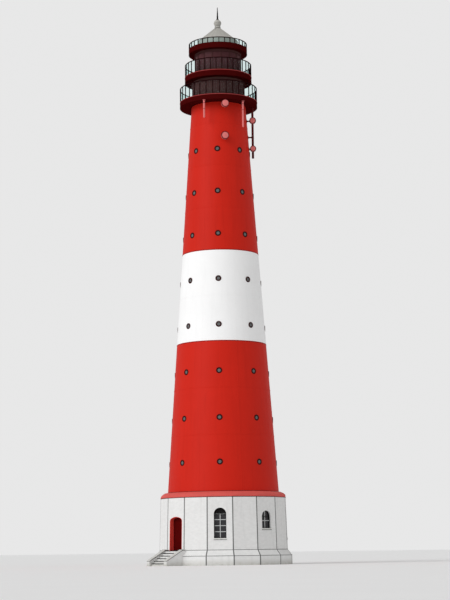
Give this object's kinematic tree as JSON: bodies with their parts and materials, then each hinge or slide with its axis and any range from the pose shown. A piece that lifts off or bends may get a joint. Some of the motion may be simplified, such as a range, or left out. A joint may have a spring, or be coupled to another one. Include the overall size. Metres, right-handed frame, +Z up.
{
  "type": "lighthouse, 1:2 scale model",
  "caption": "Tall tapering plated lighthouse with red and white bands, railed galleries, a glazed lantern under a cone roof, and a many-sided masonry base with steps and a door.",
  "frame": {"origin": "on the tower's axis at ground level, in the flat underside of the plinth", "axes": "+Z up along the tower; the door and its steps face -Y; +X is to the right of someone facing the door"},
  "size_m": [4.8784, 5.5844, 20.7462],
  "materials": {
    "white_render": "fine render, painted white",
    "grey_stone": "sawn stone",
    "skirt_red": "satin paint, weathered lighter",
    "lining_red": "painted boards",
    "hinge_iron": "black iron",
    "door_red": "painted boards",
    "brass": "worn brass",
    "frame_white": "painted white",
    "frame_dark": "painted near black",
    "dark_glass": "dark glass",
    "shaft_red": "satin red paint over iron plates",
    "shaft_white": "satin white paint over iron plates",
    "floor_plate": "grey floor plates",
    "porthole_iron": "dark paint",
    "gallery_red": "dark red paint",
    "railing_dark": "dark paint",
    "railing_glass": "pale blue-green glass",
    "drum_brown": "dark maroon paint",
    "roof_grey": "matt warm grey metal",
    "rod_black": "blackened",
    "antenna_pink": "painted pale red",
    "mast_red": "dark red paint"
  },
  "bodies": {
    "tower": {"plinth": "white_render", "ground_floor": "grey_stone", "plain_wall_bays": "white_render", "large_window_bays": "white_render", "small_window_bays": "white_render", "door_jamb_left": "white_render", "door_jamb_right": "white_render", "door_head": "white_render", "base_skirt": "skirt_red", "steps_core": "white_render", "step_treads": "grey_stone", "cheek_wall_left": "white_render", "cheek_wall_right": "white_render", "door_lining": "lining_red", "door_frame": "lining_red", "door_pins": "hinge_iron", "window_frames": "frame_dark", "window_glass": "dark_glass", "window_sills": "frame_white", "shaft_ring_1": "shaft_red", "shaft_ring_2": "shaft_red", "shaft_ring_3": "shaft_red", "shaft_ring_4": "shaft_white", "shaft_ring_5": "shaft_white", "shaft_ring_6": "shaft_red", "shaft_ring_7": "shaft_red", "shaft_ring_8": "shaft_red", "support_ring": "shaft_red", "storey_floors": "floor_plate", "porthole_frames": "porthole_iron", "porthole_glass": "dark_glass", "lower_gallery": "gallery_red", "lower_railing": "railing_dark", "lower_railing_glass": "railing_glass", "service_room_wall": "drum_brown", "middle_gallery": "gallery_red", "middle_railing": "railing_dark", "middle_railing_glass": "railing_glass", "lantern_frame": "drum_brown", "lantern_glass": "dark_glass", "roof_gallery": "gallery_red", "roof_railing": "railing_dark", "roof_railing_glass": "railing_glass", "roof_cone": "roof_grey", "ventilator_neck": "roof_grey", "ventilator_ball": "roof_grey", "lightning_rod": "rod_black", "rod_antennas": "antenna_pink", "front_dishes": "antenna_pink", "side_mast": "mast_red", "side_dishes": "antenna_pink"},
    "door": {"door_leaf": "door_red", "door_straps": "hinge_iron", "door_handle": "brass"}
  },
  "joints": [
    {"name": "door_hinge", "type": "hinge", "parent": "tower", "child": "door", "pos_m": [-0.3605, -2.02431, 0.53], "axis": [0, 0, 1], "range_deg": [0, 90]}
  ]
}
